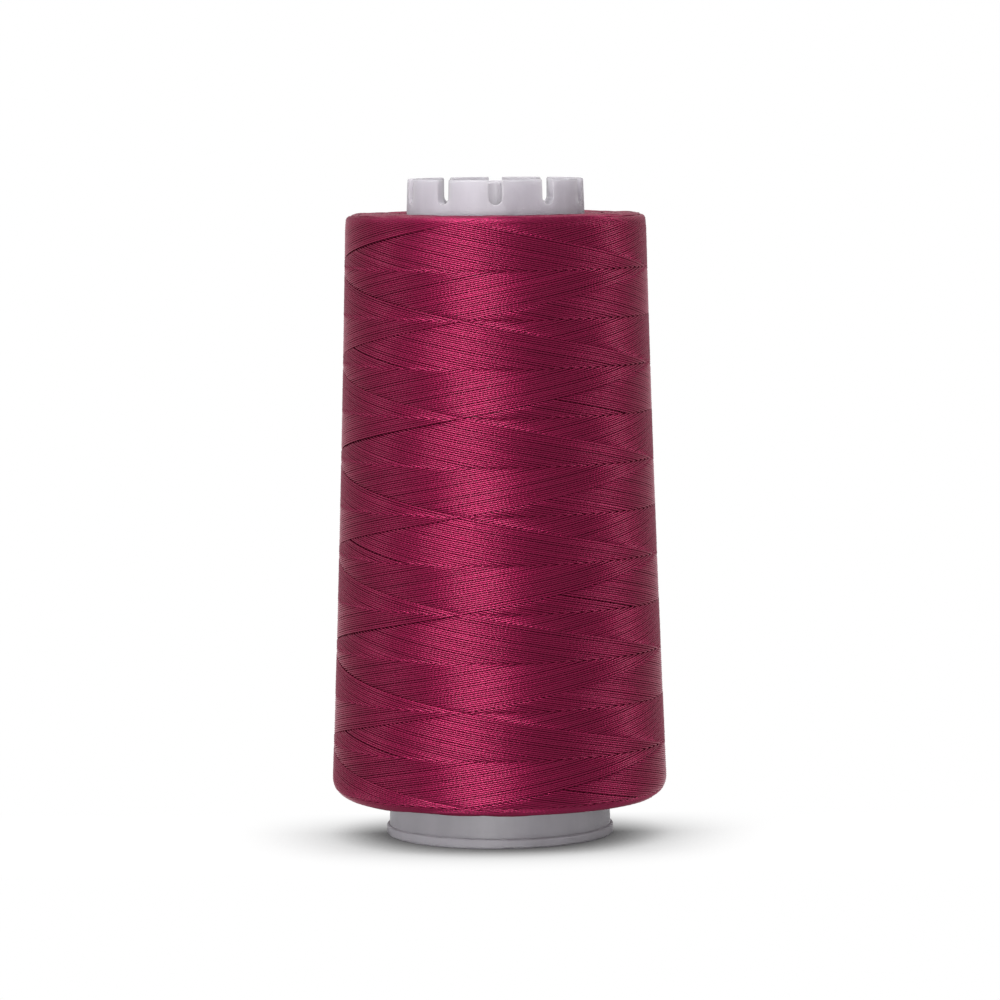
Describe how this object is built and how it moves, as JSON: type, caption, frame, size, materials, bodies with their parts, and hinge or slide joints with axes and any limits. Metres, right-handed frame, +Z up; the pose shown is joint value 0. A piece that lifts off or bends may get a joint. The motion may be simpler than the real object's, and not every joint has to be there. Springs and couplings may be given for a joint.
{
  "type": "thread cone",
  "caption": "Small tapered cone of cross-wound sewing thread on a translucent plastic tube, with a notched crown, a bare foot and a spool-pin bore.",
  "frame": {"origin": "centre of the circle that the foot rim rests on", "axes": "+Z up along the tube's axis, from foot to crown; a crown notch faces -Y"},
  "size_m": [0.0504, 0.0504, 0.0984],
  "materials": {
    "tube_plastic": "satin",
    "hub_plastic": "satin",
    "label_paper": "matte",
    "thread": "satin"
  },
  "bodies": {
    "root": {"core_tube": "tube_plastic", "nose_hub": "hub_plastic", "base_hub": "hub_plastic", "base_label": "label_paper", "thread_package": "thread"}
  },
  "joints": []
}
